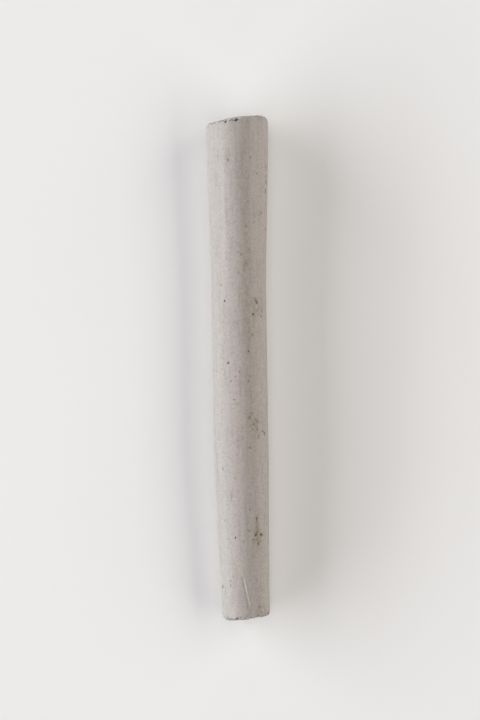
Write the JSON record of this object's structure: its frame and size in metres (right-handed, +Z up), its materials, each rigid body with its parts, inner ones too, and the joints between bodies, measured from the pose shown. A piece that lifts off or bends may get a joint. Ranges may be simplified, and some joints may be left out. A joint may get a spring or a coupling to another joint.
{
  "type": "chalk stick",
  "caption": "Worn stick of moulded white chalk, thick at the head and tapered to the tip, slightly bowed, with shallow skewed domes for ends and a rubbed flat to lie on.",
  "frame": {"origin": "on the surface that the stick lies on, in the middle of its footprint", "axes": "+Y along the stick from its thin tip to its thick head, +X across it, +Z up from the surface that it lies on"},
  "size_m": [0.0102, 0.0824, 0.01],
  "materials": {
    "chalk": "matt, fine-grained off-white with small dark pores"
  },
  "bodies": {
    "root": {"chalk_stick": "chalk"}
  },
  "joints": []
}
